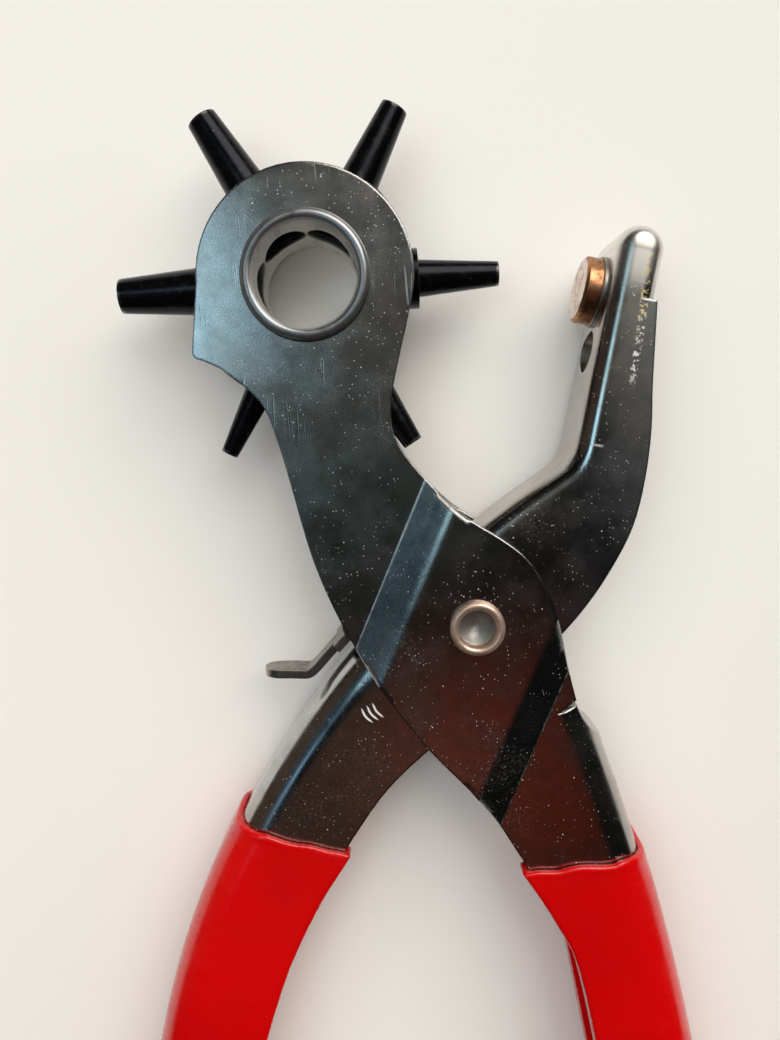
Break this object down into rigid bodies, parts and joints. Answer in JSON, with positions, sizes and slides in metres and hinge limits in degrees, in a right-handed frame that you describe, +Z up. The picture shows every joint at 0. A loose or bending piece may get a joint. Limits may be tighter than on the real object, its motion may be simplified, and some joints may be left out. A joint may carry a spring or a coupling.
{
  "type": "rotary hole punch",
  "caption": "Hand pliers with a turning turret of hollow punch tubes that press through leather onto a soft metal anvil.",
  "frame": {"origin": "on the pivot axis, at the flat of the lower rivet head that the tool rests on", "axes": "+Y from the pivot towards the jaws, +Z up through the pivot rivet, +X from the turret's side towards the anvil"},
  "size_m": [0.1078, 0.2237, 0.0212],
  "materials": {
    "punch_steel": "dark satin nickel plate, fine grain, bright worn edges",
    "anvil_steel": "dark satin nickel plate, polished jaw tip",
    "rivet_metal": "rolled lip, coppery silver, dark recess",
    "spring_steel": "drawn spring wire",
    "drum_steel": "black oxide",
    "axle_metal": "bright sleeve, dark rolled flanges",
    "washer_steel": "plain steel",
    "tube_steel": "glossy black oxide, bright cutting edge",
    "pad_copper": "soft copper alloy with cut marks",
    "pad_washer_steel": "dull steel",
    "lock_steel": "brown-grey spring steel",
    "pin_steel": "dull steel",
    "grip_vinyl": "dipped red vinyl, glossy"
  },
  "bodies": {
    "punch_side": {"punch_lever": "punch_steel", "pivot_rivet": "rivet_metal", "return_spring": "spring_steel", "turret_axle": "axle_metal", "front_turret_washer": "washer_steel", "rear_turret_washer": "washer_steel", "lock_pin": "pin_steel", "punch_grip": "grip_vinyl"},
    "anvil_side": {"anvil_lever": "anvil_steel", "anvil_pad": "pad_copper", "anvil_washer": "pad_washer_steel", "anvil_grip": "grip_vinyl"},
    "turret": {"turret_drum": "drum_steel", "punch_tube_1": "tube_steel", "punch_tube_2": "tube_steel", "punch_tube_3": "tube_steel", "punch_tube_4": "tube_steel", "punch_tube_5": "tube_steel", "punch_tube_6": "tube_steel"},
    "lock": {"lock_lever": "lock_steel"}
  },
  "joints": [
    {"name": "lever_pivot", "type": "hinge", "parent": "punch_side", "child": "anvil_side", "pos_m": [0, 0, 0.0106], "axis": [0, 0, 1], "range_deg": [0, 13.5], "stiffness_Nm_per_rad": 1.5, "springref_deg": -20.05, "deforming": ["return_spring"]},
    {"name": "turret_spin", "type": "hinge", "parent": "punch_side", "child": "turret", "pos_m": [-0.0217, 0.052, 0.0106], "axis": [0, 0, 1], "continuous": true},
    {"name": "lock_press", "type": "hinge", "parent": "punch_side", "child": "lock", "pos_m": [-0.0183, 0.0002, 0.0106], "axis": [0, 0, 1], "range_deg": [0, 3], "stiffness_Nm_per_rad": 0.5, "springref_deg": -2.86}
  ]
}
